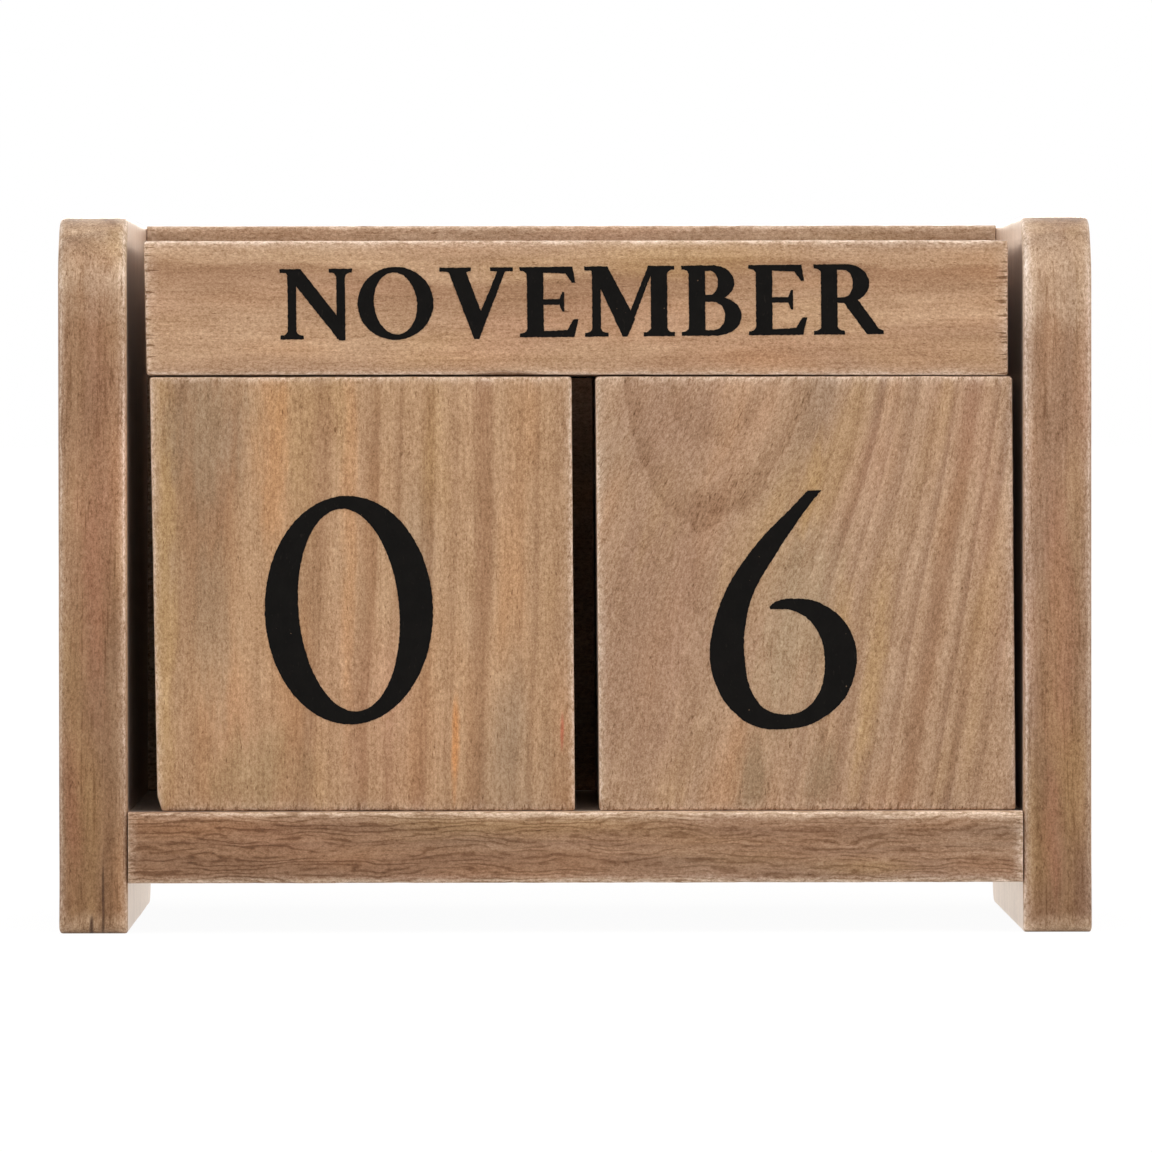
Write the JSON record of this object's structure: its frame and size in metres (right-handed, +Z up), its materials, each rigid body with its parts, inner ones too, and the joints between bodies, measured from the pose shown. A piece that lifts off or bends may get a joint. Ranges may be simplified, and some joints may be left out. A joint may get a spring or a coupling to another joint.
{
  "type": "perpetual desk calendar",
  "caption": "Wooden perpetual desk calendar: side boards, a shelf and a back hold day cubes side by side, with square month bars laid across them; every block lifts out to be turned.",
  "frame": {"origin": "on the table under the middle of the frame's footprint, halfway between the side boards and halfway front to back", "axes": "+X to the right as the calendar is read, +Y from the front to the back, +Z up; the numbers face -Y"},
  "size_m": [0.144, 0.074, 0.1],
  "materials": {
    "frame_wood": "sanded, waxed",
    "block_wood": "sanded, bare",
    "dowel_wood": "turned, bare",
    "ink": "matte printed ink"
  },
  "bodies": {
    "frame": {"side_panel_left": "frame_wood", "side_panel_right": "frame_wood", "shelf": "frame_wood", "back_panel": "frame_wood", "shelf_dowels_left": "dowel_wood", "shelf_dowels_right": "dowel_wood", "back_dowels_left": "dowel_wood", "back_dowels_right": "dowel_wood"},
    "tens_cube": {"tens_cube": "block_wood"},
    "units_cube": {"units_cube": "block_wood"},
    "month_bar_front": {"month_bar_front": "block_wood"},
    "month_bar_middle": {"month_bar_middle": "block_wood"},
    "month_bar_rear": {"month_bar_rear": "block_wood"}
  },
  "joints": [
    {"name": "tens_cube_slide", "type": "slide", "parent": "frame", "child": "tens_cube", "axis": [0, -1, 0], "range_m": [0, 0.065]},
    {"name": "units_cube_slide", "type": "slide", "parent": "frame", "child": "units_cube", "axis": [0, -1, 0], "range_m": [0, 0.065]},
    {"name": "front_bar_lift", "type": "slide", "parent": "frame", "child": "month_bar_front", "axis": [0, 0, 1], "range_m": [0, 0.04]},
    {"name": "middle_bar_lift", "type": "slide", "parent": "frame", "child": "month_bar_middle", "axis": [0, 0, 1], "range_m": [0, 0.04]},
    {"name": "rear_bar_lift", "type": "slide", "parent": "frame", "child": "month_bar_rear", "axis": [0, 0, 1], "range_m": [0, 0.04]}
  ]
}
